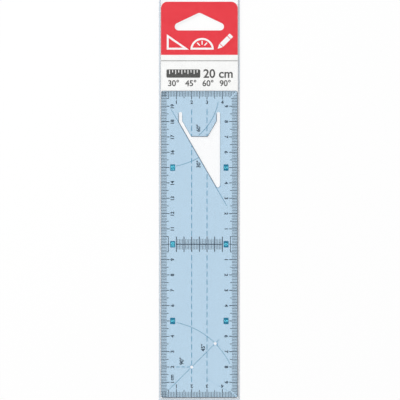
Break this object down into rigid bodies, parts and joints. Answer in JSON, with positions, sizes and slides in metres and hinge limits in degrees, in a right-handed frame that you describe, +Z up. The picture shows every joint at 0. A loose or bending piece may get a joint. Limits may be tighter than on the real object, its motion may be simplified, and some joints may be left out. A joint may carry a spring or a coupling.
{
  "type": "ruler with set-square cut-out",
  "caption": "Clear blue flat ruler with a set-square cut-out and printed scales, in a clear hanging sleeve with a red and white header card.",
  "frame": {"origin": "middle of the pack, on the underside of its back film, as it lies on a table with its front up", "axes": "+X to the right across the ruler, +Y along the ruler towards the hang slot and the sleeve's mouth, +Z up out of the front face"},
  "size_m": [0.053, 0.2612, 0.0032],
  "materials": {
    "clear_film": "clear glossy film",
    "film_seam": "clear film, hazy along the weld",
    "card_stock": "coated white card",
    "red_print": "printed ink, satin",
    "grey_print": "printed ink, matte",
    "blue_plate": "clear tinted polystyrene, polished",
    "dark_print": "printed ink on the plate's underside",
    "cyan_print": "printed ink on the plate's underside",
    "teal_print": "printed ink on the plate's underside"
  },
  "bodies": {
    "sleeve": {"sleeve_back_film": "clear_film", "sleeve_front_film": "clear_film", "sleeve_left_seam": "film_seam", "sleeve_right_seam": "film_seam", "sleeve_bottom_seam": "film_seam"},
    "card": {"header_card": "card_stock", "header_red_print": "red_print", "header_rule_print": "grey_print"},
    "ruler": {"ruler_plate": "blue_plate", "left_scale_print": "dark_print", "right_scale_print": "dark_print", "top_scale_print": "dark_print", "bottom_scale_print": "dark_print", "middle_scale_print": "dark_print", "number_tabs_print": "teal_print", "guide_lines_print": "cyan_print", "angle_marks_print": "cyan_print"}
  },
  "joints": [
    {"name": "ruler_slide", "type": "slide", "parent": "sleeve", "child": "ruler", "axis": [0, 1, 0], "range_m": [0, 0.2]},
    {"name": "card_slide", "type": "slide", "parent": "sleeve", "child": "card", "axis": [0, 1, 0], "range_m": [0, 0.05]}
  ]
}
